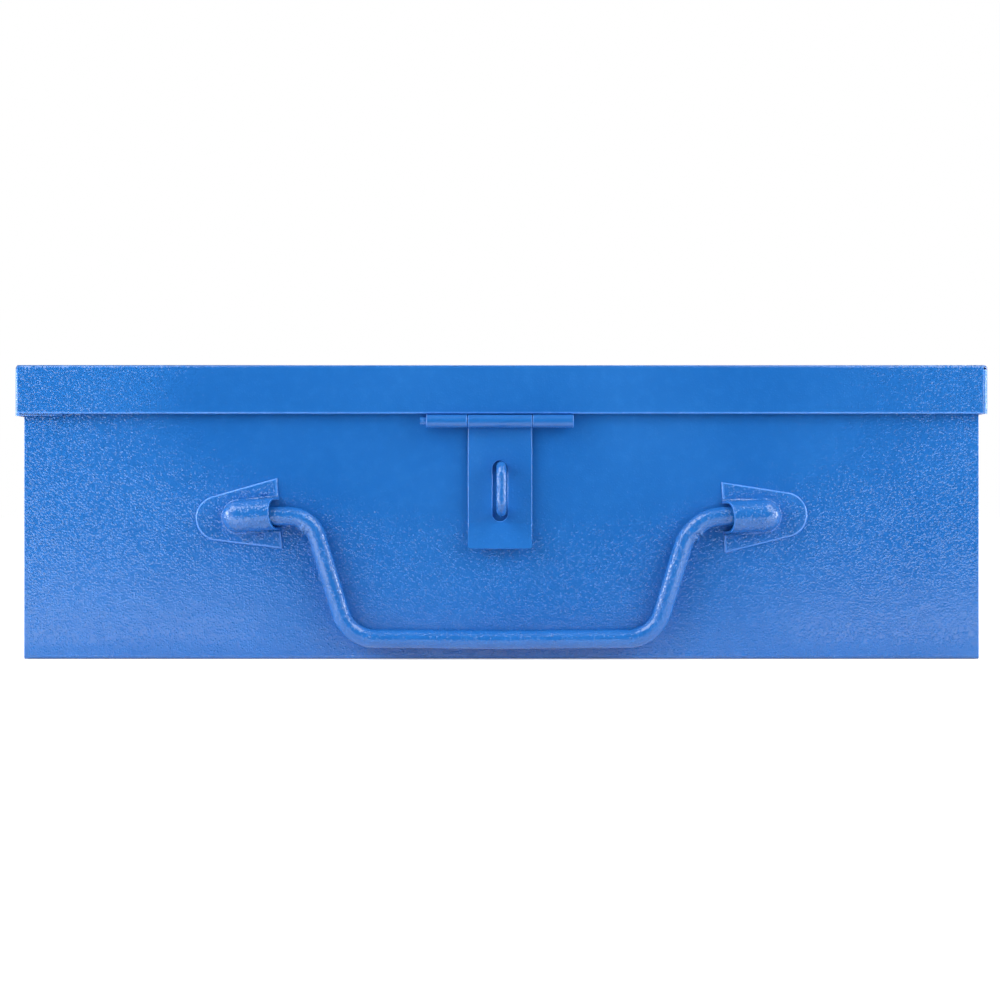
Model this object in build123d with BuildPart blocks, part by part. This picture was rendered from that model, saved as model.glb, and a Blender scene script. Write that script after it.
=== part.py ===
from build123d import *

import os
from math import cos, radians, sin, tan

# Metal tool case, in millimetres. The origin is the middle of the underside.
# The front, with the handle and the hasp, faces -Y, and +Z is up.

# Overall sizes of the case body and the height over the closed lid
body_width = 393.2
body_depth = 200.0
case_height = 121.0

# Sheet steel and its bends
sheet = 0.9
bend_inside = 0.6
rim_hem = 8.0
hem_notch = 0.6
panel_flange = 12.0
flange_relief = 4.0

# Lid: the gap to the body all round, and the flanges with their folded corners
lid_gap = 2.5
lid_rest_gap = 0.3
lid_flange = 20.0
corner_tab = 19.5
corner_bend_inside = 1.0
corner_relief = 1.8
corner_seam_left = 1.0
corner_seam_right = 1.9
front_tab_drop = 0.9

# Rolled hinge stock, the same for the rear hinges and the hasp
hinge_sheet = 1.0
pin_diameter = 3.2
pin_clearance = 0.06
pin_tail = 2.6
pin_tail_round = 0.8
roll_angle = 300.0
knuckle_gap = 0.35
barrel_drop = 0.5
hinge_length = 60.4
middle_knuckle = 26.4
lid_leaf_height = 14.0
body_leaf_height = 14.0
leaf_shoulder = 4.0
leaf_crank = 4.0
leaf_corner = 3.0
hinge_inset = 76.6

# Hasp: its place along the front, and the plate below its barrel, with the slot and the lip
hasp_middle = -0.6
hasp_length = 52.5
hasp_lip = 10.9
hasp_lip_angle = 15.0
hasp_corner = 0.8
slot_width = 6.2
slot_top = 16.1
slot_length = 25.0

# Padlock staple
staple_wire = 4.2
staple_reach = 14.0
staple_bend = 4.6
staple_top_gap = 0.4
staple_height = 22.6
staple_hole_gap = 0.1
staple_head = 6.4
staple_head_height = 1.2

# Handle rod: the pivot line, the grip and the bends of its centre line
rod_diameter = 7.6
rod_wall_gap = 0.6
pivot_height = 58.9
pivot_half = 78.3
rod_end = 111.0
grip_half = 62.8
grip_height = 8.6
grip_sag = 0.6
left_pivot_bend = 12.0
right_pivot_bend = 18.0
grip_bend = 15.0
sag_bend = 900.0
rod_end_round = 0.6

# Handle clips: a plate with a rounded nose, and a pressed bulge over the rod's end
clip_middle = 105.1
clip_nose = 20.9
clip_tail = 14.0
clip_tail_width = 29.4
clip_nose_radius = 9.4
clip_left_tilt = 4.5
clip_right_tilt = 2.5
bulge_radius = 6.6
bulge_end = 9.6
bulge_foot = 0.8
mouth_setback = 4.2

# Worked out from the sizes above
bend_outside = bend_inside + sheet
front_y = -body_depth / 2
rear_y = body_depth / 2
rim_height = case_height - sheet - lid_rest_gap
fold_height = rim_height - sheet
inner_depth = body_depth - 2 * sheet
lid_half_width = body_width / 2 + lid_gap + sheet
lid_half_depth = body_depth / 2 + lid_gap + sheet
flange_bottom = case_height - lid_flange
corner_bend = corner_bend_inside + sheet

bore_radius = pin_diameter / 2 + pin_clearance
knuckle_radius = bore_radius + hinge_sheet
leaf_gap = lid_gap - hinge_sheet
barrel_out = leaf_gap + knuckle_radius
barrel_height = flange_bottom - barrel_drop - knuckle_radius

staple_radius = staple_wire / 2
staple_high = barrel_height - slot_top - staple_top_gap - staple_radius
staple_low = staple_high - staple_height + staple_wire

rod_radius = rod_diameter / 2
handle_out = rod_wall_gap + rod_radius

UP = Vector(0, 0, 1)
FRONT = Vector(0, -1, 0)
REAR = Vector(0, 1, 0)
LEFT = Vector(-1, 0, 0)
RIGHT = Vector(1, 0, 0)

os.makedirs("parts", exist_ok=True)


def write_part(part, name):
    part.label = name
    export_step(part, f"parts/{name}.step")


# A plane for a section through one side of the case: its x runs outwards and its y runs up
def section_plane(origin, outward):
    return Plane(origin=origin, x_dir=outward, z_dir=outward.cross(UP))


# Body wrap: front wall, floor and back wall, with folded rims and two holes for the staple
with BuildPart() as body_wrap:
    with BuildSketch(Plane.YZ):
        with BuildLine():
            half = body_depth / 2
            inner = inner_depth / 2
            outside = ((-half, fold_height), (-half, 0), (half, 0), (half, fold_height))
            inside = ((-inner, fold_height), (-inner, sheet), (inner, sheet), (inner, fold_height))
            FilletPolyline(*outside, radius=bend_outside)
            FilletPolyline(*inside, radius=bend_inside)
            Line(outside[0], inside[0])
            Line(outside[-1], inside[-1])
        make_face()
    extrude(amount=body_width / 2, both=True)
    for wall, outward in ((front_y, FRONT), (rear_y, REAR)):
        with BuildSketch(section_plane((0, wall, 0), outward)):
            with BuildLine():
                CenterArc((-sheet, fold_height), sheet, 0, 180)
                Polyline(
                    (0, fold_height),
                    (-sheet, fold_height),
                    (-sheet, rim_height - rim_hem),
                    (-2 * sheet, rim_height - rim_hem),
                    (-2 * sheet, fold_height),
                )
            make_face()
        extrude(amount=body_width / 2 - 2 * sheet - hem_notch, both=True)
    with BuildSketch(Plane(origin=(0, front_y, 0), x_dir=RIGHT, z_dir=FRONT)):
        with Locations((0, staple_high), (0, staple_low)):
            Circle(staple_radius + staple_hole_gap)
    extrude(amount=-sheet, mode=Mode.SUBTRACT)
write_part(body_wrap.part, "body_wrap")


# End panels: a web with flanges turned in along the floor and the walls, and a folded rim
flange_inner_x = body_width / 2 - panel_flange
flange_top = rim_height - rim_hem - hem_notch
with BuildPart() as right_end_panel:
    with BuildSketch(Plane.YZ.offset(flange_inner_x)):
        with Locations((0, sheet)):
            Rectangle(inner_depth, fold_height - sheet, align=(Align.CENTER, Align.MIN))
        fillet(vertices().group_by(Axis.Y)[0], bend_inside)
    extrude(amount=panel_flange)
    web_rim = faces().sort_by(Axis.X)[-1].edges()
    fillet(web_rim.sort_by(Axis.Z)[:-1], bend_outside)
    with BuildSketch(Plane.YZ.offset(flange_inner_x)):
        with Locations((0, 2 * sheet)):
            Rectangle(
                inner_depth - 2 * sheet, case_height, align=(Align.CENTER, Align.MIN)
            )
    extrude(amount=panel_flange - sheet, mode=Mode.SUBTRACT)
    # The flanges stop short of each other at the floor, and below the wrap's folded rims
    with BuildSketch(Plane.YZ.offset(flange_inner_x)):
        with Locations((-inner_depth / 2, sheet), (inner_depth / 2, sheet)):
            Rectangle(2 * flange_relief, 2 * flange_relief)
        with Locations((0, flange_top)):
            Rectangle(body_depth, case_height, align=(Align.CENTER, Align.MIN))
    extrude(amount=panel_flange - bend_outside, mode=Mode.SUBTRACT)
    with BuildSketch(section_plane((body_width / 2, 0, 0), RIGHT)):
        with BuildLine():
            CenterArc((-sheet, fold_height), sheet, 0, 180)
            Polyline(
                (0, fold_height),
                (-sheet, fold_height),
                (-sheet, rim_height - rim_hem),
                (-2 * sheet, rim_height - rim_hem),
                (-2 * sheet, fold_height),
            )
        make_face()
    extrude(amount=inner_depth / 2 - bend_outside - hem_notch, both=True)
write_part(right_end_panel.part, "right_end_panel")

with BuildPart() as left_end_panel:
    mirror(right_end_panel.part, about=Plane.YZ)
write_part(left_end_panel.part, "left_end_panel")


# Section of a lid flange with its bend into the top, hanging from the outer face down
def lid_flange_section(plane, reach, bottom):
    bend_centre = (reach - bend_outside, case_height - bend_outside)
    with BuildSketch(plane) as section:
        with BuildLine():
            CenterArc(bend_centre, bend_outside, 0, 90)
            CenterArc(bend_centre, bend_inside, 0, 90)
            Polyline(
                (reach, case_height - bend_outside),
                (reach, bottom),
                (reach - sheet, bottom),
                (reach - sheet, case_height - bend_outside),
            )
            Line(
                (reach - bend_outside, case_height),
                (reach - bend_outside, case_height - sheet),
            )
        make_face()
    return section.sketch


# Plan of a corner tab: the end flange turns the corner and runs on behind the long flange
def corner_tab_plan(bottom, side_x, side_y):
    centre_x = lid_half_width - corner_bend
    centre_y = lid_half_depth - sheet - corner_bend
    tab_y = lid_half_depth - sheet
    middle_angle = radians(45)

    def corner_point(x, y):
        return (side_x * x, side_y * y)

    def bend_arc(radius):
        ThreePointArc(
            corner_point(centre_x + radius, centre_y),
            corner_point(
                centre_x + radius * cos(middle_angle), centre_y + radius * sin(middle_angle)
            ),
            corner_point(centre_x, centre_y + radius),
        )

    with BuildSketch(Plane.XY.offset(bottom)) as plan:
        with BuildLine():
            bend_arc(corner_bend)
            bend_arc(corner_bend_inside)
            Polyline(
                corner_point(centre_x, tab_y),
                corner_point(lid_half_width - corner_tab, tab_y),
                corner_point(lid_half_width - corner_tab, tab_y - sheet),
                corner_point(centre_x, tab_y - sheet),
            )
            Line(
                corner_point(lid_half_width, centre_y),
                corner_point(lid_half_width - sheet, centre_y),
            )
        make_face()
    return plan.sketch


# Lid: a flat top, four flanges and four corner tabs, folded from one blank
left_flange_bottom = flange_bottom - front_tab_drop
end_flange_half = lid_half_depth - sheet - corner_bend
with BuildPart() as lid:
    with BuildSketch(Plane.XY.offset(case_height - sheet)):
        Rectangle(
            2 * (lid_half_width - bend_outside), 2 * (lid_half_depth - bend_outside)
        )
    extrude(amount=sheet)
    for outward, seam_start, seam_end in (
        (FRONT, corner_seam_right, corner_seam_left),
        (REAR, corner_seam_left, corner_seam_right),
    ):
        start = lid_half_width - seam_start
        end = lid_half_width - seam_end
        flange_start = section_plane((0, 0, 0), outward).offset(-start)
        flange_section = lid_flange_section(flange_start, lid_half_depth, flange_bottom)
        extrude(flange_section, amount=start + end)
    for outward, bottom in ((LEFT, left_flange_bottom), (RIGHT, flange_bottom)):
        flange_middle = section_plane((0, 0, 0), outward)
        flange_section = lid_flange_section(flange_middle, lid_half_width, bottom)
        extrude(flange_section, amount=end_flange_half, both=True)
        for side_y in (-1, 1):
            tab_plan = corner_tab_plan(bottom, outward.X, side_y)
            extrude(tab_plan, amount=case_height - corner_relief - bottom)
write_part(lid.part, "lid")


# Section of a rolled knuckle, about the middle of its barrel. The leaf leaves it at the back,
# upwards or downwards, and ends at the given points of its back and front faces.
def rolled_section(barrel_plane, upwards, back_points, front_points):
    turn = roll_angle if upwards else -roll_angle
    with BuildSketch(barrel_plane) as section:
        with BuildLine():
            outer_roll = CenterArc((0, 0), knuckle_radius, 180, turn)
            inner_roll = CenterArc((0, 0), bore_radius, 180, turn)
            Line(outer_roll @ 1, inner_roll @ 1)
            Polyline(
                (-knuckle_radius, 0),
                *back_points,
                *reversed(front_points),
                (-bore_radius, 0),
            )
        make_face()
    return section.sketch


# The room that a knuckle turns in, as a square about the barrel
knuckle_room = 2 * (knuckle_radius + knuckle_gap)


# A leaf that runs straight up, behind a lid flange, with the two outer knuckles of a barrel
def lid_leaf(barrel_plane):
    back = ((-knuckle_radius, knuckle_radius + barrel_drop + lid_leaf_height),)
    front = ((-bore_radius, knuckle_radius + barrel_drop + lid_leaf_height),)
    with BuildPart() as leaf:
        extrude(rolled_section(barrel_plane, True, back, front), hinge_length / 2, both=True)
        with BuildSketch(barrel_plane):
            Rectangle(knuckle_room, knuckle_room)
        extrude(amount=middle_knuckle / 2 + knuckle_gap, both=True, mode=Mode.SUBTRACT)
        fillet(edges().filter_by(Axis.Y).group_by(Axis.Z)[-1], leaf_corner)
    return leaf.part


# A pin through a barrel, flush at one end and with a tail at the other
def barrel_pin(barrel_plane):
    with BuildPart() as pin:
        with BuildSketch(barrel_plane.offset(-hinge_length / 2)):
            Circle(pin_diameter / 2)
        extrude(amount=hinge_length + pin_tail)
        fillet(edges().filter_by(GeomType.CIRCLE), pin_tail_round)
    return pin.part


hasp_plane = section_plane((hasp_middle, front_y - barrel_out, barrel_height), FRONT)

write_part(lid_leaf(hasp_plane), "hasp_leaf")
write_part(barrel_pin(hasp_plane), "hasp_pin")


# Hasp plate: the middle knuckle, the flat with its slot, and the lip bent outwards
lip_out = hasp_lip * sin(radians(hasp_lip_angle))
lip_down = hasp_lip * cos(radians(hasp_lip_angle))
lip_mitre = hinge_sheet * tan(radians(hasp_lip_angle / 2))
bend_drop = hasp_length - lip_down
lip_end = hinge_sheet * cos(radians(hasp_lip_angle))
lip_rise = hinge_sheet * sin(radians(hasp_lip_angle))
with BuildPart() as hasp_plate:
    plate_back = (
        (-knuckle_radius, -bend_drop),
        (-knuckle_radius + lip_out, -hasp_length),
    )
    plate_front = (
        (-bore_radius, -bend_drop + lip_mitre),
        (-knuckle_radius + lip_out + lip_end, -hasp_length + lip_rise),
    )
    plate_section = rolled_section(hasp_plane, False, plate_back, plate_front)
    extrude(plate_section, amount=middle_knuckle / 2, both=True)
    with BuildSketch(Plane(origin=hasp_plane.origin, x_dir=RIGHT, z_dir=FRONT)):
        with Locations((0, -slot_top - slot_length / 2)):
            SlotOverall(slot_length, slot_width, rotation=90)
    extrude(amount=-knuckle_radius - hinge_sheet, mode=Mode.SUBTRACT)
    # The lip's two lower corners run through the sheet, so they are its shortest edges
    lip_corners = edges().group_by(SortBy.LENGTH)[0].group_by(Axis.Z)[0]
    fillet(lip_corners, hasp_corner)
write_part(hasp_plate.part, "hasp_plate")


# Staple: a wire loop through the front wall, with heads closed over inside
staple_plane = section_plane((0, front_y, 0), FRONT)
with BuildPart() as staple:
    with BuildLine(staple_plane) as staple_line:
        FilletPolyline(
            (-sheet, staple_low),
            (staple_reach - staple_radius, staple_low),
            (staple_reach - staple_radius, staple_high),
            (-sheet, staple_high),
            radius=staple_bend,
        )
    with BuildSketch(Plane(origin=staple_line.line @ 0, z_dir=staple_line.line % 0)):
        Circle(staple_radius)
    sweep(path=staple_line.line)
    with BuildSketch(Plane(origin=(0, front_y + sheet, 0), x_dir=RIGHT, z_dir=FRONT)):
        with Locations((0, staple_high), (0, staple_low)):
            Circle(staple_head / 2)
    extrude(amount=-staple_head_height)
write_part(staple.part, "staple")


# Handle: one rod, bent down from its two pivots to the grip
handle_plane = Plane(origin=(0, front_y - handle_out, 0), x_dir=RIGHT, z_dir=FRONT)
with BuildPart() as handle:
    with BuildLine(handle_plane) as handle_line:
        FilletPolyline(
            (-rod_end, pivot_height),
            (-pivot_half, pivot_height),
            (-grip_half, grip_height),
            (0, grip_height - grip_sag),
            (grip_half, grip_height),
            (pivot_half, pivot_height),
            (rod_end, pivot_height),
            radius=(left_pivot_bend, grip_bend, sag_bend, grip_bend, right_pivot_bend),
        )
    with BuildSketch(Plane(origin=handle_line.line @ 0, z_dir=handle_line.line % 0)):
        Circle(rod_radius)
    sweep(path=handle_line.line)
    rod_ends = edges().filter_by(GeomType.CIRCLE).sort_by(Axis.X)
    fillet((rod_ends[0], rod_ends[-1]), rod_end_round)
write_part(handle.part, "handle")


# Section of the bulge's outer or inner face, across the rod
def bulge_section(plane, radius):
    with BuildSketch(plane) as section:
        with BuildLine():
            CenterArc((0, handle_out), radius, 0, 180)
            Polyline((-radius, handle_out), (-radius, 0), (radius, 0), (radius, handle_out))
        make_face()
    return section.sketch


# Half of that section, which turns into the bulge's closed end
def half_bulge_section(plane, radius):
    with BuildSketch(plane) as section:
        with BuildLine():
            CenterArc((0, handle_out), radius, 0, 90)
            Polyline((0, handle_out + radius), (0, 0), (radius, 0), (radius, handle_out))
        make_face()
    return section.sketch


# A clip on the front wall: its nose points along nose_direction, away from the handle
def handle_clip(middle, nose_direction):
    wall_plane = Plane(origin=middle, x_dir=nose_direction, z_dir=FRONT)
    dome_middle = wall_plane.from_local_coords((bulge_end - bulge_radius, 0, 0))
    dome_plane = Plane(origin=dome_middle, x_dir=wall_plane.y_dir, z_dir=nose_direction)
    dome_axis = Axis(dome_middle, FRONT)
    bulge_length = bulge_end - bulge_radius + clip_tail
    mouth_plane = Plane(
        origin=wall_plane.from_local_coords((-clip_tail, 0, 0)),
        x_dir=wall_plane.y_dir,
        z_dir=nose_direction * (handle_out + bulge_radius) - FRONT * mouth_setback,
    )

    # An edge at the foot of the bulge lies on the plate's face, along the bulge's outline
    def at_foot(edge):
        along, across, height = wall_plane.to_local_coords(edge.center())
        on_face = abs(height - sheet) < sheet / 10
        in_length = -clip_tail + bulge_foot < along < bulge_end + bulge_foot / 2
        return on_face and in_length and abs(across) < bulge_radius + bulge_foot / 2

    with BuildPart() as clip:
        with BuildSketch(wall_plane):
            with BuildLine():
                Line((-clip_tail, -clip_tail_width / 2), (-clip_tail, clip_tail_width / 2))
                CenterArc((clip_nose - clip_nose_radius, 0), clip_nose_radius, 0, 360)
            make_hull()
        extrude(amount=sheet)
        extrude(bulge_section(dome_plane, bulge_radius), amount=-bulge_length)
        revolve(half_bulge_section(dome_plane, bulge_radius), axis=dome_axis)
        fillet(edges().filter_by(at_foot), bulge_foot)
        tunnel_radius = bulge_radius - sheet
        extrude(
            bulge_section(dome_plane, tunnel_radius), amount=-bulge_length, mode=Mode.SUBTRACT
        )
        revolve(
            half_bulge_section(dome_plane, tunnel_radius), axis=dome_axis, mode=Mode.SUBTRACT
        )
        split(bisect_by=mouth_plane, keep=Keep.TOP)
    return clip.part


for name, side, tilt in (
    ("left_handle_clip", -1, clip_left_tilt),
    ("right_handle_clip", 1, clip_right_tilt),
):
    nose_direction = Vector(side * cos(radians(tilt)), 0, side * sin(radians(tilt)))
    clip_part = handle_clip((side * clip_middle, front_y, pivot_height), nose_direction)
    write_part(clip_part, name)


# A leaf that is cranked back onto the rear wall, with the middle knuckle of a barrel
def body_leaf(barrel_plane):
    shoulder = knuckle_radius + knuckle_gap + leaf_shoulder
    foot = shoulder + leaf_crank
    end = foot + body_leaf_height
    back = (
        (-knuckle_radius, -shoulder),
        (-knuckle_radius - leaf_gap, -foot),
        (-knuckle_radius - leaf_gap, -end),
    )
    front = tuple((out + hinge_sheet, height) for out, height in back)
    with BuildPart() as leaf:
        extrude(rolled_section(barrel_plane, False, back, front), hinge_length / 2, both=True)
        for start in (-hinge_length / 2, middle_knuckle / 2):
            with BuildSketch(barrel_plane.offset(start)):
                Rectangle(knuckle_room, knuckle_room)
            extrude(amount=(hinge_length - middle_knuckle) / 2, mode=Mode.SUBTRACT)
        fillet(edges().filter_by(Axis.Y).group_by(Axis.Z)[0], leaf_corner)
    return leaf.part


# Rear hinges: a lid leaf, a body leaf and a pin on each side
for side_name, side in (("left", -1), ("right", 1)):
    hinge_middle = (side * (body_width / 2 - hinge_inset), rear_y + barrel_out, barrel_height)
    hinge_plane = section_plane(hinge_middle, REAR)
    write_part(lid_leaf(hinge_plane), f"{side_name}_hinge_lid_leaf")
    write_part(body_leaf(hinge_plane), f"{side_name}_hinge_body_leaf")
    write_part(barrel_pin(hinge_plane), f"{side_name}_hinge_pin")
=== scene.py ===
import math

import bmesh
import bpy
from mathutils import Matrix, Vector


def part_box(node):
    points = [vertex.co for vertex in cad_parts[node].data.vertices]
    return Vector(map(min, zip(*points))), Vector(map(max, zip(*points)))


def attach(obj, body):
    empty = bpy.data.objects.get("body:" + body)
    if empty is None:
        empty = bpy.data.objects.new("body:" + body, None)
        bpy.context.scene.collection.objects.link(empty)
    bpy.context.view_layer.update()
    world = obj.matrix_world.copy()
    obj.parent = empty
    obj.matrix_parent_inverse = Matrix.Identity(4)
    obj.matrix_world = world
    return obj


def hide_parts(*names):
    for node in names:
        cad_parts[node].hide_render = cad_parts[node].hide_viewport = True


# Blue steel tool case. Metres, front towards -Y, resting on z = 0.
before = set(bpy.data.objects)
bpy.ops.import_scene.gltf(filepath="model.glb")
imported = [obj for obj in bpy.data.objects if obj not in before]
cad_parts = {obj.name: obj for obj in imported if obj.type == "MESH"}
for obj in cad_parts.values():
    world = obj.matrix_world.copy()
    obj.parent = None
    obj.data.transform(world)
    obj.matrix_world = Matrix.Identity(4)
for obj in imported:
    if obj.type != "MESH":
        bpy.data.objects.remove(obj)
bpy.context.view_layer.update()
scene = bpy.context.scene
scene.view_settings.view_transform = "Standard"
print("case loaded:", len(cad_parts), "nodes")


# Camera, level with the middle of the case
cameraSetup = {
    "distance": 1.2,  # from the lid's front flange
    "frameWidth": 0.4107,  # what the picture spans at that flange
    "sideways": -0.0006,
    "height": 0.0655,
    "sensor": 36.0,
    "seesTo": 60.0,
}
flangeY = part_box("lid")[0].y
cameraData = bpy.data.cameras.new("photoCamera")
cameraData.sensor_width = cameraSetup["sensor"]
cameraData.lens = cameraSetup["distance"] * cameraSetup["sensor"] / cameraSetup["frameWidth"]
cameraData.clip_end = cameraSetup["seesTo"]
photoCamera = bpy.data.objects.new("photoCamera", cameraData)
photoCamera.location = (cameraSetup["sideways"], flangeY - cameraSetup["distance"], cameraSetup["height"])
photoCamera.rotation_euler = (math.radians(90), 0, 0)
scene.collection.objects.link(photoCamera)
scene.camera = photoCamera
print("camera ready, lens", round(cameraData.lens, 1))


# A node with its settings, and each of its inputs set to a value or joined to what another node gives
def addNode(tree, kind, place, inputs=None, **settings):
    node = tree.nodes.new(kind)
    node.location = place
    for name, value in settings.items():
        setattr(node, name, value)
    for name, given in (inputs or {}).items():
        if isinstance(given, bpy.types.NodeSocket):
            tree.links.new(given, node.inputs[name])
        else:
            node.inputs[name].default_value = given
    return node


# The result of a maths node on one or two values
def addMath(tree, operation, place, *values, clamp=False):
    inputs = dict(enumerate(values))
    return addNode(tree, "ShaderNodeMath", place, inputs, operation=operation, use_clamp=clamp).outputs[0]


# A vector node, whose result is read from the output that suits its operation
def addVector(tree, operation, place, inputs):
    return addNode(tree, "ShaderNodeVectorMath", place, inputs, operation=operation)


# A value led smoothly from one range to another
def addFade(tree, place, inputs):
    fade = addNode(tree, "ShaderNodeMapRange", place, inputs, interpolation_type="SMOOTHSTEP")
    return fade.outputs["Result"]


# A point divided by a size, for a texture whose own scale is one
def addSized(tree, point, size, row):
    share = addMath(tree, "DIVIDE", (-700, row), 1.0, size)
    return addVector(tree, "SCALE", (-500, row), {0: point, "Scale": share}).outputs[0]


# An empty node group with named inputs and outputs
def newGroup(name, kind, inputs, outputs):
    tree = bpy.data.node_groups.new(name, kind)
    for socketName, socketKind, value in inputs:
        socket = tree.interface.new_socket(socketName, in_out="INPUT", socket_type=socketKind)
        if value is not None:
            socket.default_value = value
    for socketName, socketKind in outputs:
        tree.interface.new_socket(socketName, in_out="OUTPUT", socket_type=socketKind)
    start = addNode(tree, "NodeGroupInput", (-900, 0))
    end = addNode(tree, "NodeGroupOutput", (900, 0))
    return tree, start, end


# Orange peel: low swells, close-set pimples, and fewer sharp grains that catch the lamps.
# It is calmer round one place, where the paint flowed out better.
peelShape = {
    "swellDetail": 1.5,
    "swellRoughness": 0.45,
    "pimpleWidth": 0.68,  # of a cell
    "pimplePower": 1.0,  # the higher this is, the fewer are tall
    "grainWidth": 0.45,
    "grainPower": 2.6,
    "calmUpTo": 0.7,  # of the calm's reach
    "roughFrom": 1.1,
    "pimpleRelief": 0.6,
    "swellRelief": 0.4,
}


def makeOrangePeel():
    tree, start, end = newGroup(
        "orangePeel",
        "ShaderNodeTree",
        [
            ("Point", "NodeSocketVector", None),
            ("Swell Size", "NodeSocketFloat", 0.004),
            ("Swell Height", "NodeSocketFloat", 0.0001),
            ("Pimple Size", "NodeSocketFloat", 0.0019),
            ("Pimple Height", "NodeSocketFloat", 0.0002),
            ("Grain Size", "NodeSocketFloat", 0.0014),
            ("Grain Height", "NodeSocketFloat", 0.0001),
            ("Calm Centre", "NodeSocketVector", None),
            ("Calm Reach", "NodeSocketVector", (0.1, 10.0, 0.05)),
            ("Calm Share", "NodeSocketFloat", 1.0),
        ],
        [("Height", "NodeSocketFloat"), ("Relief", "NodeSocketFloat")],
    )
    value = start.outputs

    # Round bumps, one in each cell, of mixed height
    def bumps(sizeName, row, width, power):
        point = addSized(tree, value["Point"], value[sizeName], row)
        cells = addNode(tree, "ShaderNodeTexVoronoi", (-300, row), {"Scale": 1.0, "Vector": point}).outputs
        domeRange = {"Value": cells["Distance"], "From Min": width, "From Max": 0.0}
        dome = addFade(tree, (-100, row), domeRange)
        tint = addNode(tree, "ShaderNodeSeparateColor", (-100, row - 200), {"Color": cells["Color"]})
        tall = addMath(tree, "POWER", (100, row - 200), tint.outputs["Red"], power)
        return addMath(tree, "MULTIPLY", (250, row), dome, tall)

    swellInputs = {
        "Scale": 1.0,
        "Detail": peelShape["swellDetail"],
        "Roughness": peelShape["swellRoughness"],
        "Vector": addSized(tree, value["Point"], value["Swell Size"], 500),
    }
    swell = addNode(tree, "ShaderNodeTexNoise", (-300, 500), swellInputs).outputs["Fac"]
    pimples = bumps("Pimple Size", 150, peelShape["pimpleWidth"], peelShape["pimplePower"])
    grains = bumps("Grain Size", -300, peelShape["grainWidth"], peelShape["grainPower"])
    offset = addVector(tree, "SUBTRACT", (-500, -700), {0: value["Point"], 1: value["Calm Centre"]})
    shares = addVector(tree, "DIVIDE", (-300, -700), {0: offset.outputs[0], 1: value["Calm Reach"]})
    far = addVector(tree, "LENGTH", (-100, -700), {0: shares.outputs[0]})
    calmRange = {
        "Value": far.outputs["Value"],
        "From Min": peelShape["calmUpTo"],
        "From Max": peelShape["roughFrom"],
        "To Min": value["Calm Share"],
    }
    calm = addFade(tree, (100, -700), calmRange)
    swellPart = addMath(tree, "MULTIPLY", (400, 400), swell, value["Swell Height"])
    pimplePart = addMath(tree, "MULTIPLY", (400, 200), pimples, value["Pimple Height"])
    grainPart = addMath(tree, "MULTIPLY", (400, -100), grains, value["Grain Height"])
    rough = addMath(tree, "ADD", (550, 100), pimplePart, grainPart)
    calmed = addMath(tree, "MULTIPLY", (650, 0), rough, calm)
    tree.links.new(addMath(tree, "ADD", (750, 200), swellPart, calmed), end.inputs["Height"])
    # The relief only sets the paint's tone: painted shade in the hollows, painted highlight on the crests
    calmPimples = addMath(tree, "MULTIPLY", (400, 350), pimples, calm)
    pimpleShare = addMath(tree, "MULTIPLY", (550, 350), calmPimples, peelShape["pimpleRelief"])
    swellShare = addMath(tree, "MULTIPLY", (550, 500), swell, peelShape["swellRelief"])
    tree.links.new(addMath(tree, "ADD", (700, 400), pimpleShare, swellShare), end.inputs["Relief"])
    return tree


# Tone of the paint: slow patches where it went on thicker, and on the peel a painted shade in the hollows
# and a painted highlight on the crests, partly also a thicker and a thinner coat there
toneShape = {
    "patchDetail": 3.0,
    "hollowAt": 0.2,
    "crestAt": 0.7,
    "hollowShadeCoat": 0.2,  # thicker by this share, which darkens the hollows as a painted shade
    # thinner on the crests, which lightens them as a painted highlight
    "crestHighlightCoat": -0.5,
    "glossSpread": 0.04,
}


def makePaintTone():
    tree, start, end = newGroup(
        "paintTone",
        "ShaderNodeTree",
        [
            ("Point", "NodeSocketVector", None),
            ("Relief", "NodeSocketFloat", 0.5),
            ("Thin Coat", "NodeSocketColor", (0.02, 0.2, 0.6, 1)),
            ("Thick Coat", "NodeSocketColor", (0.01, 0.15, 0.5, 1)),
            ("Patch Size", "NodeSocketFloat", 0.05),
            ("Gloss", "NodeSocketFloat", 0.24),
        ],
        [("Color", "NodeSocketColor"), ("Roughness", "NodeSocketFloat")],
    )
    value = start.outputs
    patchInputs = {
        "Scale": 1.0,
        "Detail": toneShape["patchDetail"],
        "Vector": addSized(tree, value["Point"], value["Patch Size"], 200),
    }
    patches = addNode(tree, "ShaderNodeTexNoise", (-250, 200), patchInputs).outputs["Fac"]
    # Painted shade in the peel's hollows and a painted highlight on its crests, as a change of coat
    crestAndHollowShadeRange = {
        "Value": value["Relief"],
        "From Min": toneShape["hollowAt"],
        "From Max": toneShape["crestAt"],
        "To Min": toneShape["hollowShadeCoat"],
        "To Max": toneShape["crestHighlightCoat"],
    }
    crestHighlightAndHollowShade = addNode(tree, "ShaderNodeMapRange", (-250, -100), crestAndHollowShadeRange)
    coatAndPaintedShade = addMath(tree, "ADD", (0, 100), patches, crestHighlightAndHollowShade.outputs["Result"], clamp=True)
    coatInputs = {"Factor": coatAndPaintedShade, "A": value["Thin Coat"], "B": value["Thick Coat"]}
    coat = addNode(tree, "ShaderNodeMix", (300, 100), coatInputs, data_type="RGBA")
    tree.links.new(coat.outputs["Result"], end.inputs["Color"])
    spread = toneShape["glossSpread"]
    glossRange = {"Value": patches, "To Min": spread, "To Max": -spread}
    glossShift = addNode(tree, "ShaderNodeMapRange", (0, -250), glossRange)
    gloss = addMath(tree, "ADD", (300, -250), value["Gloss"], glossShift.outputs["Result"])
    tree.links.new(gloss, end.inputs["Roughness"])
    return tree


orangePeel = makeOrangePeel()
paintTone = makePaintTone()
paintIor = 1.6


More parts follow.
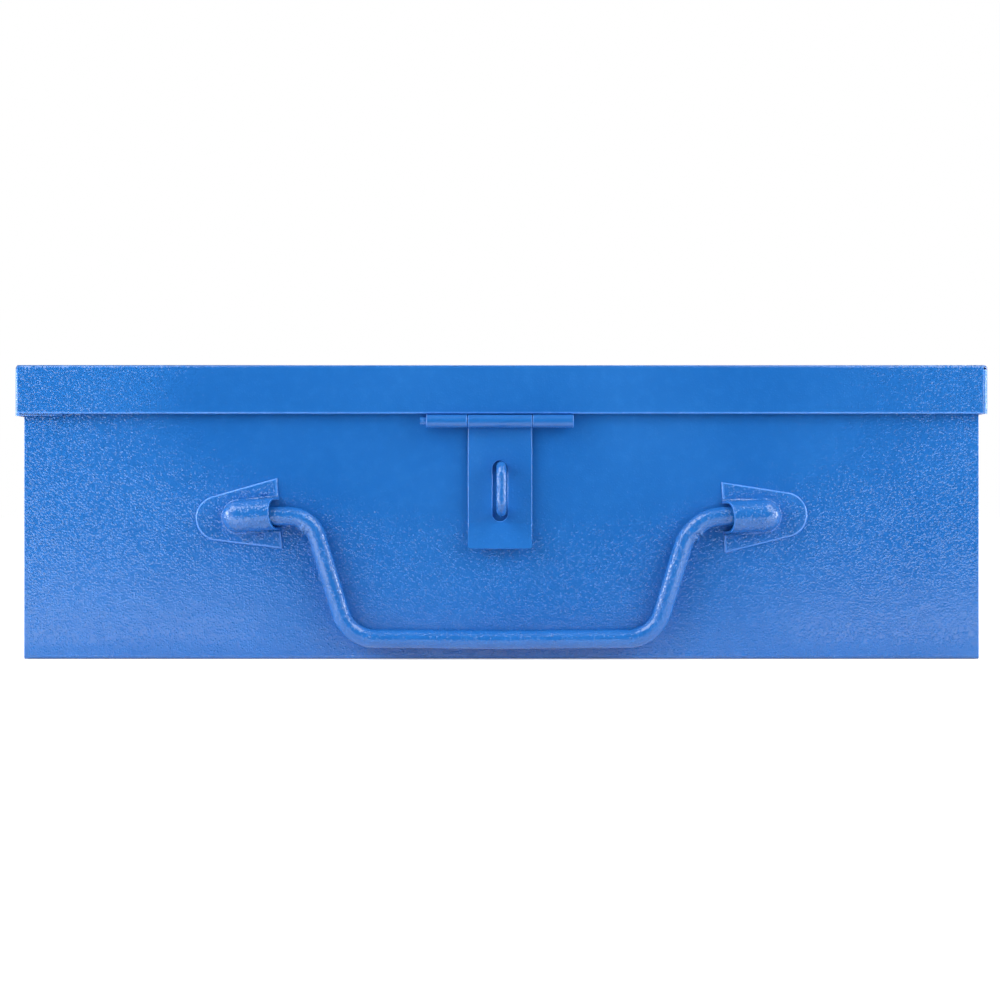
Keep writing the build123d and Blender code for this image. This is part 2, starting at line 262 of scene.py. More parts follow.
def makeEnamel(name, finish):
    material = bpy.data.materials.new(name)
    material.use_nodes = True
    tree = material.node_tree
    tree.nodes.clear()
    point = addNode(tree, "ShaderNodeTexCoord", (-900, 0)).outputs["Object"]
    peelInputs = {"Point": point, **finish["peel"]}
    peel = addNode(tree, "ShaderNodeGroup", (-650, -150), peelInputs, node_tree=orangePeel).outputs
    toneInputs = {"Point": point, "Relief": peel["Relief"], **finish["tone"]}
    tone = addNode(tree, "ShaderNodeGroup", (-350, 150), toneInputs, node_tree=paintTone).outputs
    bumpInputs = {"Strength": 1.0, "Distance": 1.0, "Height": peel["Height"]}
    bump = addNode(tree, "ShaderNodeBump", (-100, -200), bumpInputs)
    paintInputs = {
        "IOR": paintIor,
        "Base Color": tone["Color"],
        "Roughness": tone["Roughness"],
        "Normal": bump.outputs["Normal"],
    }
    paint = addNode(tree, "ShaderNodeBsdfPrincipled", (150, 100), paintInputs)
    addNode(tree, "ShaderNodeOutputMaterial", (450, 100), {"Surface": paint.outputs["BSDF"]})
    return material


# Colours of the paint where its coat is thin and where it is thick. The peel's crests lean to the thin one
# as a painted highlight, and its hollows to the thick one as a painted shade.
enamelBlue = {"Thin Coat": (0.026, 0.200, 0.625, 1), "Thick Coat": (0.012, 0.140, 0.495, 1)}
# The edge colour is paler partly for a thin coat and partly as a painted highlight on edges and bends
thinEdgeAndHighlightBlue = {"Thin Coat": (0.075, 0.29, 0.82, 1), "Thick Coat": (0.04, 0.235, 0.72, 1)}

wallFinish = {
    "peel": {
        "Swell Size": 0.0045,
        "Swell Height": 0.00008,
        "Pimple Size": 0.00088,
        "Pimple Height": 0.00014,
        "Grain Size": 0.0013,
        "Grain Height": 0.00017,
        "Calm Centre": (0.0075, -0.102, 0.100),
        "Calm Reach": (0.176, 0.040, 0.050),
        "Calm Share": 0.22,
    },
    "tone": {**enamelBlue, "Patch Size": 0.06, "Gloss": 0.12},
}
fittingFinish = {
    "peel": {
        "Swell Size": 0.0050,
        "Swell Height": 0.00006,
        "Pimple Size": 0.0012,
        "Pimple Height": 0.00017,
        "Grain Size": 0.0014,
        "Grain Height": 0.00022,
        "Calm Reach": (10.0, 10.0, 10.0),
        "Calm Share": 0.25,
    },
    "tone": {**enamelBlue, "Patch Size": 0.02, "Gloss": 0.17},
}
clipFinish = {
    "peel": {
        "Swell Size": 0.0040,
        "Swell Height": 0.00010,
        "Pimple Size": 0.0010,
        "Pimple Height": 0.00017,
        "Grain Size": 0.0011,
        "Grain Height": 0.00020,
    },
    "tone": {**enamelBlue, "Patch Size": 0.02, "Gloss": 0.13},
}
rodFinish = {
    "peel": {
        "Swell Size": 0.0030,
        "Swell Height": 0.00008,
        "Pimple Size": 0.0010,
        "Pimple Height": 0.00015,
        "Grain Size": 0.0011,
        "Grain Height": 0.00020,
    },
    "tone": {**enamelBlue, "Patch Size": 0.015, "Gloss": 0.14},
}
thinEdgeAndHighlightFinish = {
    "peel": {
        "Swell Size": 0.0030,
        "Swell Height": 0.00008,
        "Pimple Size": 0.0018,
        "Pimple Height": 0.00006,
        "Grain Size": 0.0016,
        "Grain Height": 0.00010,
    },
    "tone": {**thinEdgeAndHighlightBlue, "Patch Size": 0.004, "Gloss": 0.16},
}
wallEnamel = makeEnamel("wallEnamel", wallFinish)
fittingEnamel = makeEnamel("fittingEnamel", fittingFinish)
clipEnamel = makeEnamel("clipEnamel", clipFinish)
rodEnamel = makeEnamel("rodEnamel", rodFinish)
thinEdgeAndHighlightEnamel = makeEnamel("thinEdgeAndHighlightEnamel", thinEdgeAndHighlightFinish)  # paint drawn thin over an edge or a sharp bend, and paler there as a painted highlight
print("paints mixed")


# Ties a piece to the body it rides, and hides the solids it stands for
def finishPiece(piece, body, *nodes):
    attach(piece, body)
    if nodes:
        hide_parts(*nodes)


# The evaluated object as a plain mesh, with its modifiers used up
def bakeModifiers(piece):
    graph = bpy.context.evaluated_depsgraph_get()
    made = bpy.data.meshes.new_from_object(
        piece.evaluated_get(graph), preserve_all_data_layers=True, depsgraph=graph
    )
    piece.modifiers.clear()
    piece.data = made
    made.name = piece.name


# Which edges of a sheet are rounded, by the angle between their two faces and by their length
cutAngle = 30  # degrees, and a cut edge turns by more
foldAngle = 10  # degrees, and a shallow fold turns by more
shortEdge = 0.0002  # the facets of a small corner are shorter, and are left as they are
sheetCorner = 0.0012  # edges across a folded sheet's own thickness are shorter, and aren't rounded
longFold = 0.01  # a fold runs across the whole sheet
foldSegments = 8
flatAngle = 0.5  # degrees, and faces that turn by less become one
weldDistance = 1e-6

# Paint slots of a dressed sheet
sheetSlot = 0
thinEdgeAndHighlightSlot = 1


def roundEdges(piece, weightName, width, segments, slot):
    bevel = piece.modifiers.new(weightName, "BEVEL")
    bevel.limit_method = "WEIGHT"
    bevel.edge_weight = weightName
    bevel.width = width
    bevel.segments = segments
    bevel.material = slot
    bevel.use_clamp_overlap = False


# A copy of a imported solid, with the rounded edges that paint leaves on cut sheet, paler as a painted
# highlight.
# Inside corners aren't rounded. A shallow fold is rounded too and keeps the colour of the sheet.
def dressSheet(node, pieceName, body, edges, material):
    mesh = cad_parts[node].data.copy()
    mesh.materials.clear()
    mesh.materials.append(material)
    mesh.materials.append(thinEdgeAndHighlightEnamel)
    shape = bmesh.new()
    shape.from_mesh(mesh)
    bmesh.ops.remove_doubles(shape, verts=shape.verts, dist=weldDistance)
    flat = math.radians(flatAngle)
    bmesh.ops.dissolve_limit(shape, angle_limit=flat, verts=shape.verts, edges=shape.edges)
    cutWeight = shape.edges.layers.float.new("cutEdge")
    foldWeight = shape.edges.layers.float.new("foldEdge")
    bends = {face for face in shape.faces if "bend" in edges and edges["bend"](face)}
    for edge in shape.edges:
        edge.smooth = True
        length = edge.calc_length()
        if len(edge.link_faces) != 2 or length < shortEdge:
            continue
        turn = math.degrees(edge.calc_face_angle())
        if turn > cutAngle and length < edges.get("shortest", shortEdge):
            edge.smooth = bends.isdisjoint(edge.link_faces)  # a bend isn't shaded round its own ends
        elif turn > cutAngle:
            edge[cutWeight] = edges["share"](edge) if "share" in edges else float(edge.is_convex)
        elif turn > foldAngle and "fold" in edges and length > longFold:
            edge[foldWeight] = 1.0
    for face in shape.faces:
        face.smooth = True
        # Bends take the pale edge paint, which is partly a painted highlight
        face.material_index = thinEdgeAndHighlightSlot if face in bends else sheetSlot
    shape.to_mesh(mesh)
    shape.free()
    mesh.attributes.remove(mesh.attributes["custom_normal"])  # those of the unrounded solid
    piece = bpy.data.objects.new(pieceName, mesh)
    scene.collection.objects.link(piece)
    if "fold" in edges:
        roundEdges(piece, "foldEdge", edges["fold"], foldSegments, sheetSlot)
    # Cut edges are rounded in the pale edge paint, a painted highlight
    roundEdges(piece, "cutEdge", edges["round"], edges["segments"], thinEdgeAndHighlightSlot)
    flatter = piece.modifiers.new("flatFaces", "WEIGHTED_NORMAL")
    flatter.mode = "FACE_AREA"
    flatter.keep_sharp = True
    bakeModifiers(piece)
    finishPiece(piece, body, node)
    return piece


# The upright bends at the lid's corners face between two sides. Paint is thin over them, and paler as a
# painted highlight.
uprightWithin = 0.1
betweenSides = 0.02


def isCornerBend(face):
    facing = face.normal
    return abs(facing.z) < uprightWithin and min(abs(facing.x), abs(facing.y)) > betweenSides


bodyEdges = {"round": 0.0003, "segments": 3, "shortest": sheetCorner}
lidEdges = {"round": 0.0004, "segments": 4, "shortest": sheetCorner, "bend": isCornerBend}
for node, pieceName, body, edges in (
    ("body_wrap", "bodyWrap", "case", bodyEdges),
    ("left_end_panel", "leftEndPanel", "case", bodyEdges),
    ("right_end_panel", "rightEndPanel", "case", bodyEdges),
    ("lid", "lidShell", "lid", lidEdges),
):
    piece = dressSheet(node, pieceName, body, edges, wallEnamel)
    print("sheet", pieceName, len(piece.data.polygons), "faces")

hingeEdges = {"round": 0.00028, "segments": 3}
haspPlateEdges = {**hingeEdges, "fold": 0.0004}
for node, pieceName, body, edges in (
    ("hasp_leaf", "haspLeaf", "lid", hingeEdges),
    ("hasp_plate", "haspPlate", "hasp", haspPlateEdges),
    ("left_hinge_lid_leaf", "leftHingeLidLeaf", "lid", hingeEdges),
    ("right_hinge_lid_leaf", "rightHingeLidLeaf", "lid", hingeEdges),
    ("left_hinge_body_leaf", "leftHingeBodyLeaf", "case", hingeEdges),
    ("right_hinge_body_leaf", "rightHingeBodyLeaf", "case", hingeEdges),
):
    piece = dressSheet(node, pieceName, body, edges, fittingEnamel)
    print("hinge", pieceName, len(piece.data.polygons), "faces")

stapleEdges = {"round": 0.0003, "segments": 3}
piece = dressSheet("staple", "stapleWire", "case", stapleEdges, rodEnamel)
print("staple", len(piece.data.polygons), "faces")


# Clips: the outline of the plate is rolled over by more than the mouth of the bulge, so the painted
# highlight of its pale edge paint is wider
clipSheet = 0.0009
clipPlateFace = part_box("left_handle_clip")[1].y - clipSheet
clipShares = {"outline": 1.0, "behindPlate": 0.1, "bulge": 0.2}
onPlate = 1e-5  # a point this close to the plate's face is on it


def clipEdgeShare(edge):
    if not edge.is_convex:
        return 0.0
    heights = [clipPlateFace - vert.co.y for vert in edge.verts]
    if max(abs(height) for height in heights) < onPlate:
        return clipShares["outline"]
    return clipShares["behindPlate"] if max(heights) < -onPlate else clipShares["bulge"]


clipEdges = {"round": 0.00075, "segments": 5, "share": clipEdgeShare}
for node, pieceName in (("left_handle_clip", "leftHandleClip"), ("right_handle_clip", "rightHandleClip")):
    piece = dressSheet(node, pieceName, "case", clipEdges, clipEnamel)
    print("clip", pieceName, len(piece.data.polygons), "faces")


# Moves a skin along its normals by an amount, then smooths and paints it
def addSkinEnd(tree, skin, amount, paint):
    normal = addNode(tree, "GeometryNodeInputNormal", (400, -800))
    shift = addVector(tree, "SCALE", (550, -600), {0: normal.outputs["Normal"], "Scale": amount})
    moveInputs = {"Geometry": skin, "Offset": shift.outputs[0]}
    moved = addNode(tree, "GeometryNodeSetPosition", (300, 300), moveInputs)
    smooth = addNode(tree, "GeometryNodeSetShadeSmooth", (450, 300), {0: moved.outputs["Geometry"]})
    paintInputs = {"Geometry": smooth.outputs[0], "Material": paint}
    return addNode(tree, "GeometryNodeSetMaterial", (750, 300), paintInputs).outputs["Geometry"]


# Geometry Nodes: a round rod along a bent path, with a puckered skin round two places
rodShape = {
    "arcPoints": 24,
    "endOpening": 0.04,  # square of the radius that is left at the very end
    "lumpDetail": 2.0,
    "lumpMiddle": 0.42,
}


def makeRodTree():
    tree, start, end = newGroup(
        "rodOnPath",
        "GeometryNodeTree",
        [
            ("Path", "NodeSocketGeometry", None),
            ("Radius", "NodeSocketFloat", 0.004),
            ("Step", "NodeSocketFloat", 0.001),
            ("Sides", "NodeSocketInt", 40),
            ("End Round", "NodeSocketFloat", 0.001),
            ("First Pucker", "NodeSocketVector", None),
            ("Second Pucker", "NodeSocketVector", None),
            ("Pucker Reach", "NodeSocketFloat", 0.004),
            ("Pucker Size", "NodeSocketFloat", 0.0015),
            ("Pucker Height", "NodeSocketFloat", 0.0006),
            ("Paint", "NodeSocketMaterial", None),
        ],
        [("Rod", "NodeSocketGeometry")],
    )
    value = start.outputs
    path = addNode(tree, "GeometryNodeMeshToCurve", (-700, 300), {"Mesh": value["Path"]})
    bendName = {"Name": "bend"}
    bend = addNode(tree, "GeometryNodeInputNamedAttribute", (-700, 100), bendName, data_type="FLOAT")
    arcInputs = {
        "Curve": path.outputs["Curve"],
        "Count": rodShape["arcPoints"],
        "Radius": bend.outputs["Attribute"],
    }
    arcs = addNode(tree, "GeometryNodeFilletCurve", (-500, 300), arcInputs, mode="POLY")
    ringInputs = {"Curve": arcs.outputs["Curve"], "Length": value["Step"]}
    rings = addNode(tree, "GeometryNodeResampleCurve", (-300, 300), ringInputs, mode="LENGTH")

    # The ends are rounded over
    along = addNode(tree, "GeometryNodeSplineParameter", (-700, -100)).outputs["Length"]
    whole = addNode(tree, "GeometryNodeSplineLength", (-700, -250)).outputs["Length"]
    left = addMath(tree, "SUBTRACT", (-500, -200), whole, along)
    nearest = addMath(tree, "MINIMUM", (-350, -150), along, left)
    share = addMath(tree, "DIVIDE", (-200, -150), nearest, value["End Round"], clamp=True)
    rest = addMath(tree, "SUBTRACT", (-50, -150), 1.0, share)
    square = addMath(tree, "MULTIPLY", (100, -150), rest, rest)
    under = addMath(tree, "SUBTRACT", (250, -150), 1.0 + rodShape["endOpening"], square)
    scale = addMath(tree, "SQRT", (400, -150), under)
    radius = addMath(tree, "MINIMUM", (550, -150), scale, 1.0)
    sizeInputs = {"Curve": rings.outputs["Curve"], "Radius": radius}
    sized = addNode(tree, "GeometryNodeSetCurveRadius", (-100, 300), sizeInputs)
    circleInputs = {"Resolution": value["Sides"], "Radius": value["Radius"]}
    circle = addNode(tree, "GeometryNodeCurvePrimitiveCircle", (-100, 500), circleInputs, mode="RADIUS")
    skinInputs = {
        "Curve": sized.outputs["Curve"],
        "Profile Curve": circle.outputs["Curve"],
        "Fill Caps": True,
    }
    skin = addNode(tree, "GeometryNodeCurveToMesh", (100, 300), skinInputs)

    # The puckers fade out with the distance from the nearer place
    point = addNode(tree, "GeometryNodeInputPosition", (-700, -450)).outputs["Position"]
    first = addVector(tree, "DISTANCE", (-500, -450), {0: point, 1: value["First Pucker"]})
    second = addVector(tree, "DISTANCE", (-500, -650), {0: point, 1: value["Second Pucker"]})
    gap = addMath(tree, "MINIMUM", (-300, -500), first.outputs["Value"], second.outputs["Value"])
    fadeRange = {"Value": gap, "From Max": value["Pucker Reach"], "To Min": 1.0, "To Max": 0.0}
    fade = addFade(tree, (-100, -500), fadeRange)
    lumpInputs = {
        "Vector": point,
        "Scale": addMath(tree, "DIVIDE", (-300, -800), 1.0, value["Pucker Size"]),
        "Detail": rodShape["lumpDetail"],
    }
    lumps = addNode(tree, "ShaderNodeTexNoise", (-100, -800), lumpInputs).outputs["Fac"]
    centred = addMath(tree, "SUBTRACT", (100, -800), lumps, rodShape["lumpMiddle"])
    raised = addMath(tree, "MULTIPLY", (250, -700), centred, value["Pucker Height"])
    faded = addMath(tree, "MULTIPLY", (400, -600), raised, fade)
    painted = addSkinEnd(tree, skin.outputs["Mesh"], faded, value["Paint"])
    tree.links.new(painted, end.inputs["Rod"])
    return tree


# Runs a tree on an object, with the inputs set by socket identifier, and keeps the mesh it makes
def growNodes(piece, tree, inputs):
    modifier = piece.modifiers.new("grow", "NODES")
    modifier.node_group = tree
    for item in tree.interface.items_tree:
        if item.in_out == "INPUT" and item.name in inputs:
            modifier[item.identifier] = inputs[item.name]
    bakeModifiers(piece)


rodTree = makeRodTree()


# A rod along a line of points, each with the radius of its bend
def makeRod(pieceName, points, bends, inputs):
    mesh = bpy.data.meshes.new(pieceName)
    mesh.from_pydata(points, [(i, i + 1) for i in range(len(points) - 1)], [])
    bend = mesh.attributes.new("bend", "FLOAT", "POINT")
    bend.data.foreach_set("value", bends)
    piece = bpy.data.objects.new(pieceName, mesh)
    scene.collection.objects.link(piece)
    growNodes(piece, rodTree, inputs)
    return piece


# Handle: the rod's centre line, with the skin puckered inside its two top bends
handleRoute = {
    "y": -0.1044,
    "points": [
        (-0.1110, 0.0589),
        (-0.0783, 0.0589),
        (-0.0628, 0.0086),
        (0.0, 0.0080),
        (0.0628, 0.0086),
        (0.0783, 0.0589),
        (0.1110, 0.0589),
    ],
    "bends": [0.0, 0.012, 0.015, 0.9, 0.015, 0.018, 0.0],
    "inputs": {
        "Radius": 0.0038,
        "Step": 0.0007,
        "Sides": 48,
        "End Round": 0.0006,
        "First Pucker": (-0.0818, -0.1060, 0.0527),
        "Second Pucker": (0.0812, -0.1060, 0.0510),
        "Pucker Reach": 0.0048,
        "Pucker Size": 0.0011,
        "Pucker Height": 0.0066,
        "Paint": rodEnamel,
    },
}
handleRod = makeRod(
    "handleRod",
    [(x, handleRoute["y"], z) for x, z in handleRoute["points"]],
    handleRoute["bends"],
    handleRoute["inputs"],
)
finishPiece(handleRod, "handle", "handle")
print("handle", len(handleRod.data.polygons), "faces")

# Paint bead that gathered along the lower rim of the lid's flanges, in the pale edge paint that is partly
# a painted highlight
rimBead = {
    "inset": 0.00045,  # half the sheet
    "frontZ": 0.1010,
    "leftDrop": 0.0009,
    "corner": 0.0019,
    "inputs": {
        "Radius": 0.00052,
        "Step": 0.003,
        "Sides": 14,
        "End Round": 0.0004,
        "Pucker Height": 0.0,
        "Paint": thinEdgeAndHighlightEnamel,
    },
}


def makeRimBeads():
    low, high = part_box("lid")
    inset = rimBead["inset"]
    left, right = low.x + inset, high.x - inset
    front, rear = low.y + inset, high.y - inset
    corner = rimBead["corner"] + 2 * inset
    height = rimBead["frontZ"] + inset
    leftHeight = height - rimBead["leftDrop"]
    runs = {
        "frontRimBead": [(left + corner, front, height), (right - corner, front, height)],
        "rearRimBead": [(left + corner, rear, height), (right - corner, rear, height)],
        "leftRimBead": [(left, front + corner, leftHeight), (left, rear - corner, leftHeight)],
        "rightRimBead": [(right, front + corner, height), (right, rear - corner, height)],
    }
    for pieceName, points in runs.items():
        bead = makeRod(pieceName, points, [0.0] * len(points), rimBead["inputs"])
        finishPiece(bead, "lid")
        print("bead", pieceName, len(bead.data.polygons), "faces")


makeRimBeads()

# Hinge pins, each with a lump of paint round the end that sticks out
pinInputs = {
    "Radius": 0.0016,
    "Step": 0.0004,
    "Sides": 28,
    "End Round": 0.0008,
    "Pucker Reach": 0.0026,
    "Pucker Size": 0.0022,
    "Pucker Height": 0.0016,
    "Paint": rodEnamel,
}
for node, pieceName, body, tailSide in (
    ("hasp_pin", "haspPin", "lid", "left"),
    ("left_hinge_pin", "leftHingePin", "case", "right"),
    ("right_hinge_pin", "rightHingePin", "case", "right"),
):
    low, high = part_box(node)
    middle = (low + high) / 2
    ends = [(low.x, middle.y, middle.z), (high.x, middle.y, middle.z)]
    tail = ends[0] if tailSide == "left" else ends[1]
    pin = makeRod(pieceName, ends, [0.0, 0.0], {**pinInputs, "First Pucker": tail, "Second Pucker": tail})
    finishPiece(pin, body, node)
    print("pin", pieceName, len(pin.data.polygons), "faces")


# Geometry Nodes: uneven lumps on a handful of points
lumpShape = {"subdivisions": 4, "smallest": 0.7, "largest": 1.3, "noiseMiddle": 0.5}


def makeLumpTree():
    tree, start, end = newGroup(
        "lumps",
        "GeometryNodeTree",
        [
            ("Points", "NodeSocketGeometry", None),
            ("Radius", "NodeSocketFloat", 0.0006),
            ("Depth", "NodeSocketFloat", 0.5),
            ("Unevenness", "NodeSocketFloat", 0.0002),
            ("Seed", "NodeSocketInt", 1),
            ("Paint", "NodeSocketMaterial", None),
        ],
        [("Lumps", "NodeSocketGeometry")],
    )
    value = start.outputs
    points = addNode(tree, "GeometryNodeMeshToPoints", (-600, 200), {"Mesh": value["Points"]})
    ballInputs = {"Subdivisions": lumpShape["subdivisions"], "Radius": value["Radius"]}
    ball = addNode(tree, "GeometryNodeMeshIcoSphere", (-600, 0), ballInputs)
    spreadInputs = {"Min": lumpShape["smallest"], "Max": lumpShape["largest"], "Seed": value["Seed"]}
    draw = addNode(tree, "FunctionNodeRandomValue", (-600, -200), spreadInputs, data_type="FLOAT")
    spread = draw.outputs["Value"]
    flat = addMath(tree, "MULTIPLY", (-400, -350), spread, value["Depth"])
    size = addNode(tree, "ShaderNodeCombineXYZ", (-250, -200), {"X": spread, "Y": flat, "Z": spread})
    placeInputs = {
        "Points": points.outputs["Points"],
        "Instance": ball.outputs["Mesh"],
        "Scale": size.outputs[0],
    }
    placed = addNode(tree, "GeometryNodeInstanceOnPoints", (-100, 200), placeInputs)
    real = addNode(tree, "GeometryNodeRealizeInstances", (100, 200), {0: placed.outputs["Instances"]})
    grainInputs = {
        "Vector": addNode(tree, "GeometryNodeInputPosition", (-400, -500)).outputs["Position"],
        "Scale": addMath(tree, "DIVIDE", (-250, -500), 1.0, value["Radius"]),
    }
    grain = addNode(tree, "ShaderNodeTexNoise", (-100, -300), grainInputs).outputs["Fac"]
    centred = addMath(tree, "SUBTRACT", (100, -300), grain, lumpShape["noiseMiddle"])
    raised = addMath(tree, "MULTIPLY", (250, -300), centred, value["Unevenness"])
    painted = addSkinEnd(tree, real.outputs[0], raised, value["Paint"])
    tree.links.new(painted, end.inputs["Lumps"])
    return tree


lumpTree = makeLumpTree()


# A lump at each of some places, riding a body
def makeLumps(pieceName, places, body, inputs):
    mesh = bpy.data.meshes.new(pieceName)
    mesh.from_pydata(places, [], [])
    piece = bpy.data.objects.new(pieceName, mesh)
    scene.collection.objects.link(piece)
    growNodes(piece, lumpTree, inputs)
    finishPiece(piece, body)
    print("lumps", pieceName, len(piece.data.polygons), "faces")


# Weld spatter under the paint of the left clip
clipSpatter = {
    "places": [
        (-0.0989, 0.0681),
        (-0.0980, 0.0677),
        (-0.0969, 0.0682),
        (-0.1003, 0.0507),
        (-0.0994, 0.0514),
        (-0.0990, 0.0501),
    ],
    "inputs": {
        "Radius": 0.00062,
        "Depth": 0.6,
        "Unevenness": 0.0006,
        "Seed": 4,
        "Paint": clipEnamel,
    },
}
makeLumps(
    "clipSpatter",
    [(x, clipPlateFace, z) for x, z in clipSpatter["places"]],
    "case",
    clipSpatter["inputs"],
)

# Spot welds on the hinges' body leaves, each a low disc under the paint
spotWelds = {
    "offsets": (-0.018, 0.0, 0.018),
    "z": 0.0795,
    "leafSheet": 0.0010,
    "inputs": {
        "Radius": 0.0021,
        "Depth": 0.12,
        "Unevenness": 0.0002,
        "Seed": 7,
        "Paint": fittingEnamel,
    },
}
for node, pieceName in (
    ("left_hinge_body_leaf", "leftSpotWelds"),
    ("right_hinge_body_leaf", "rightSpotWelds"),
):
    low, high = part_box(node)
    middle = (low.x + high.x) / 2
    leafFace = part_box("body_wrap")[1].y + spotWelds["leafSheet"]
    places = [(middle + offset, leafFace, spotWelds["z"]) for offset in spotWelds["offsets"]]
    makeLumps(pieceName, places, "case", spotWelds["inputs"])


# One for rays from the camera, a gloss or a glass, and zero for those that carry light
def raySeen(tree):
    ray = addNode(tree, "ShaderNodeLightPath", (-900, -300)).outputs
    either = addMath(tree, "ADD", (-700, -300), ray["Is Camera Ray"], ray["Is Glossy Ray"])
    return addMath(tree, "ADD", (-550, -300), either, ray["Is Transmission Ray"], clamp=True)


# Pale floor: it takes the case's shadow, and a glow that only the eye and the gloss see makes it white
floorSetup = {
    "half": 9.0,
    "drop": 0.0002,  # below the case, so that the two are never level
    "white": 0.85,
    "near": 0.5,
    "far": 1.6,
    "nearGlow": 0.55,
    "farGlow": 1.0,
}


def makeFloor():
    mesh = bpy.data.meshes.new("floor")
    half = floorSetup["half"]
    corners = [(-half, -half, 0), (half, -half, 0), (half, half, 0), (-half, half, 0)]
    mesh.from_pydata(corners, [], [(0, 1, 2, 3)])
    floor = bpy.data.objects.new("floor", mesh)
    scene.collection.objects.link(floor)
    floor.location.z = -floorSetup["drop"]
    material = bpy.data.materials.new("paleFloor")
    material.use_nodes = True
    tree = material.node_tree
    tree.nodes.clear()
    point = addNode(tree, "ShaderNodeTexCoord", (-900, 0)).outputs["Object"]
    reach = addVector(tree, "LENGTH", (-700, 0), {0: point})
    awayRange = {
        "Value": reach.outputs["Value"],
        "From Min": floorSetup["near"],
        "From Max": floorSetup["far"],
        "To Min": floorSetup["nearGlow"],
        "To Max": floorSetup["farGlow"],
    }
    away = addFade(tree, (-500, 0), awayRange)
    glowLevel = addMath(tree, "MULTIPLY", (-250, -150), away, raySeen(tree))
    white = floorSetup["white"]
    matte = addNode(tree, "ShaderNodeBsdfDiffuse", (-50, 150), {"Color": (white, white, white, 1)})
    glow = addNode(tree, "ShaderNodeEmission", (-50, -100), {"Strength": glowLevel})
    bothInputs = {0: matte.outputs["BSDF"], 1: glow.outputs["Emission"]}
    both = addNode(tree, "ShaderNodeAddShader", (150, 0), bothInputs)
    addNode(tree, "ShaderNodeOutputMaterial", (350, 0), {"Surface": both.outputs["Shader"]})
    mesh.materials.append(material)


# Dark end of the studio, behind the camera, and the dark cloth that runs from it along the floor.
# Only the gloss of the paint sees them.
studioEnd = {
    "distance": 2.0,
    "half": 1.9,
    "top": 2.2,
    "grey": 0.03,
    "clothHeight": 0.003,
    "clothEdge": [(-1.9, -1.0), (-0.35, -0.52), (0.0, -0.27), (0.35, -0.52), (1.9, -1.0)],
}


def makeStudioEnd():
    mesh = bpy.data.meshes.new("studioEnd")
    back = -studioEnd["distance"]
    half = studioEnd["half"]
    low = studioEnd["clothHeight"]
    high = studioEnd["top"]
    upright = [(-half, back, low), (-half, back, high), (half, back, high), (half, back, low)]
    cloth = [(x, y, low) for x, y in studioEnd["clothEdge"]]
    corners = upright + cloth
    ground = (0, 3, *reversed(range(len(upright), len(corners))))
    mesh.from_pydata(corners, [], [(0, 1, 2, 3), ground])
    card = bpy.data.objects.new("studioEnd", mesh)
    scene.collection.objects.link(card)
    card.visible_camera = False
    card.visible_diffuse = False
    card.visible_shadow = False
    material = bpy.data.materials.new("darkCloth")
    material.use_nodes = True
    clothPaint = material.node_tree.nodes["Principled BSDF"]
    grey = studioEnd["grey"]
    clothPaint.inputs["Base Color"].default_value = (grey, grey, grey, 1)
    clothPaint.inputs["Roughness"].default_value = 1.0
    clothPaint.inputs["Specular IOR Level"].default_value = 0.0
    mesh.materials.append(material)


# Soft lamps. The large box at each side and the faint one overhead light only the matt part of the paint.
# Only its gloss sees the high boxes, the cards at the sides and the front, and the panels on the floor.
# The front cards are lower than the lid, so that its top never mirrors them.
lampSetup = {
    "overhead": {"place": (0.0, -0.9, 1.75), "size": (2.2, 1.6), "power": 1.6, "only": "matt"},
    "leftBox": {"place": (-0.9, -0.52, 0.58), "size": (0.90, 0.98), "power": 12.6, "only": "matt"},
    "rightBox": {"place": (0.9, -0.52, 0.58), "size": (0.90, 0.98), "power": 10.8, "only": "matt"},
    "leftHigh": {"place": (-0.75, -0.55, 1.05), "size": (0.90, 0.98), "power": 12.0, "only": "gloss"},
    "rightHigh": {"place": (0.75, -0.55, 1.05), "size": (0.90, 0.98), "power": 11.0, "only": "gloss"},
    "leftSide": {"place": (-0.95, -0.18, 0.20), "size": (0.40, 0.36), "power": 4.2, "only": "gloss"},
    "rightSide": {"place": (0.95, -0.18, 0.20), "size": (0.40, 0.36), "power": 4.2, "only": "gloss"},
    "leftFront": {"place": (-0.46, -0.52, 0.057), "size": (0.36, 0.11), "power": 0.34, "only": "gloss"},
    "rightFront": {"place": (0.50, -0.52, 0.057), "size": (0.36, 0.11), "power": 0.18, "only": "gloss"},
    "rear": {"place": (0.3, 1.3, 1.2), "size": (1.2, 0.9), "power": 9.0},
    "leftPanel": {"place": (-0.34, -0.42, 0.004), "size": (0.46, 0.54), "power": 1.2, "only": "gloss"},
    "rightPanel": {"place": (0.36, -0.42, 0.004), "size": (0.46, 0.54), "power": 1.1, "only": "gloss"},
}
caseMiddle = Vector((0, 0, 0.06))
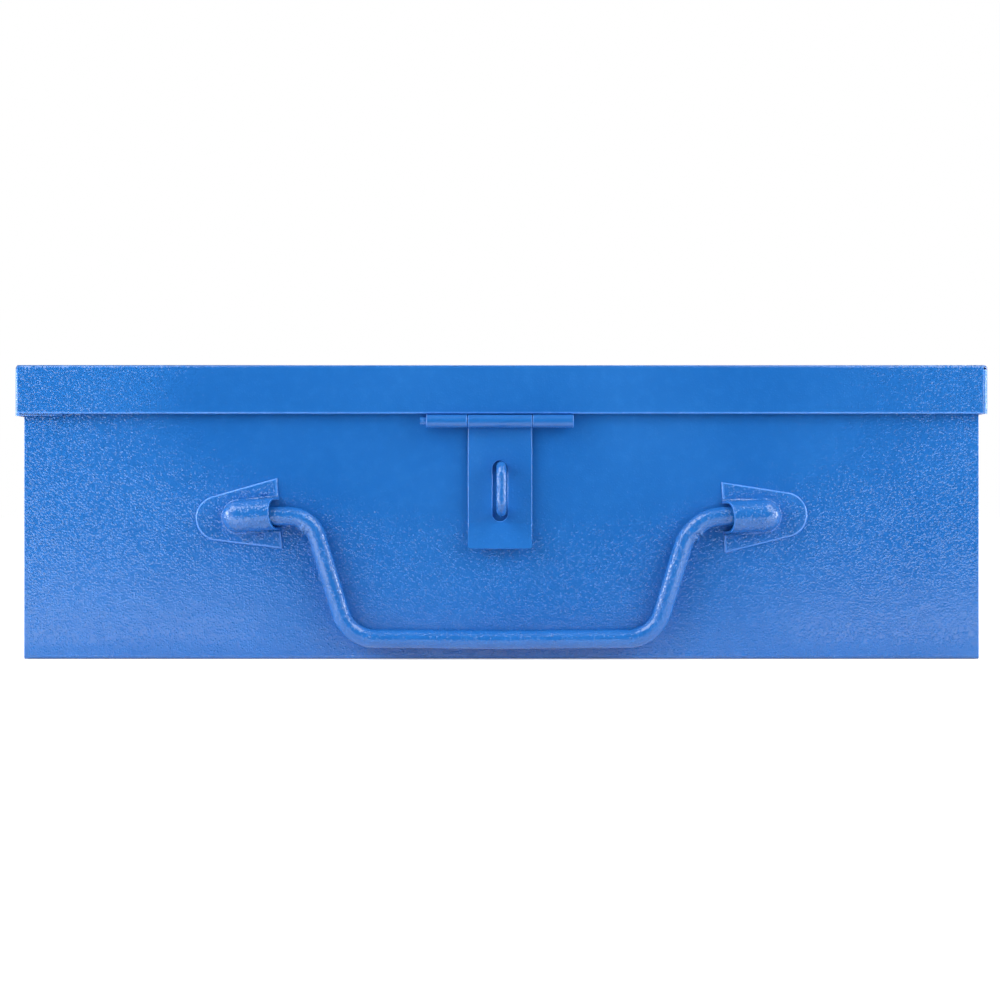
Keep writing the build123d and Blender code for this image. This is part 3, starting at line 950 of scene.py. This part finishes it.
panelHeight = 0.01  # a lamp below this lies on the floor and faces up


def makeLamp(name, lamp):
    data = bpy.data.lights.new(name, "AREA")
    data.shape = "RECTANGLE"
    data.size, data.size_y = lamp["size"]
    data.energy = lamp["power"]
    item = bpy.data.objects.new(name, data)
    item.location = lamp["place"]
    item.rotation_mode = "QUATERNION"
    lying = lamp["place"][2] < panelHeight
    aim = Vector((0, 0, 1)) if lying else caseMiddle - Vector(lamp["place"])
    item.rotation_quaternion = aim.to_track_quat("-Z", "Y")
    item.visible_camera = False
    item.visible_diffuse = lamp.get("only") != "gloss"
    item.visible_glossy = lamp.get("only") != "matt"
    scene.collection.objects.link(item)


# World: white round the horizon for the eye and the gloss, greyer overhead, and dim as a light
worldSetup = {"horizon": 1.0, "overhead": 0.35, "whiteUpTo": 0.22, "greyFrom": 0.7, "asLight": 0.3}


def makeWorld():
    world = bpy.data.worlds.new("studio")
    scene.world = world
    world.use_nodes = True
    tree = world.node_tree
    tree.nodes.clear()
    direction = addNode(tree, "ShaderNodeTexCoord", (-800, 0))
    parts = addNode(tree, "ShaderNodeSeparateXYZ", (-600, 0), {0: direction.outputs["Generated"]})
    levelRange = {
        "Value": parts.outputs["Z"],
        "From Min": worldSetup["whiteUpTo"],
        "From Max": worldSetup["greyFrom"],
        "To Min": worldSetup["horizon"],
        "To Max": worldSetup["overhead"],
    }
    level = addFade(tree, (-400, 0), levelRange)
    shareRange = {"Value": raySeen(tree), "To Min": worldSetup["asLight"], "To Max": 1.0}
    share = addNode(tree, "ShaderNodeMapRange", (-400, -300), shareRange)
    strength = addMath(tree, "MULTIPLY", (-200, 0), level, share.outputs["Result"])
    skyInputs = {"Color": (1, 1, 1, 1), "Strength": strength}
    sky = addNode(tree, "ShaderNodeBackground", (0, 0), skyInputs)
    addNode(tree, "ShaderNodeOutputWorld", (200, 0), {"Surface": sky.outputs["Background"]})


makeFloor()
makeStudioEnd()
makeWorld()
for name, lamp in lampSetup.items():
    makeLamp(name, lamp)
print("studio lit")
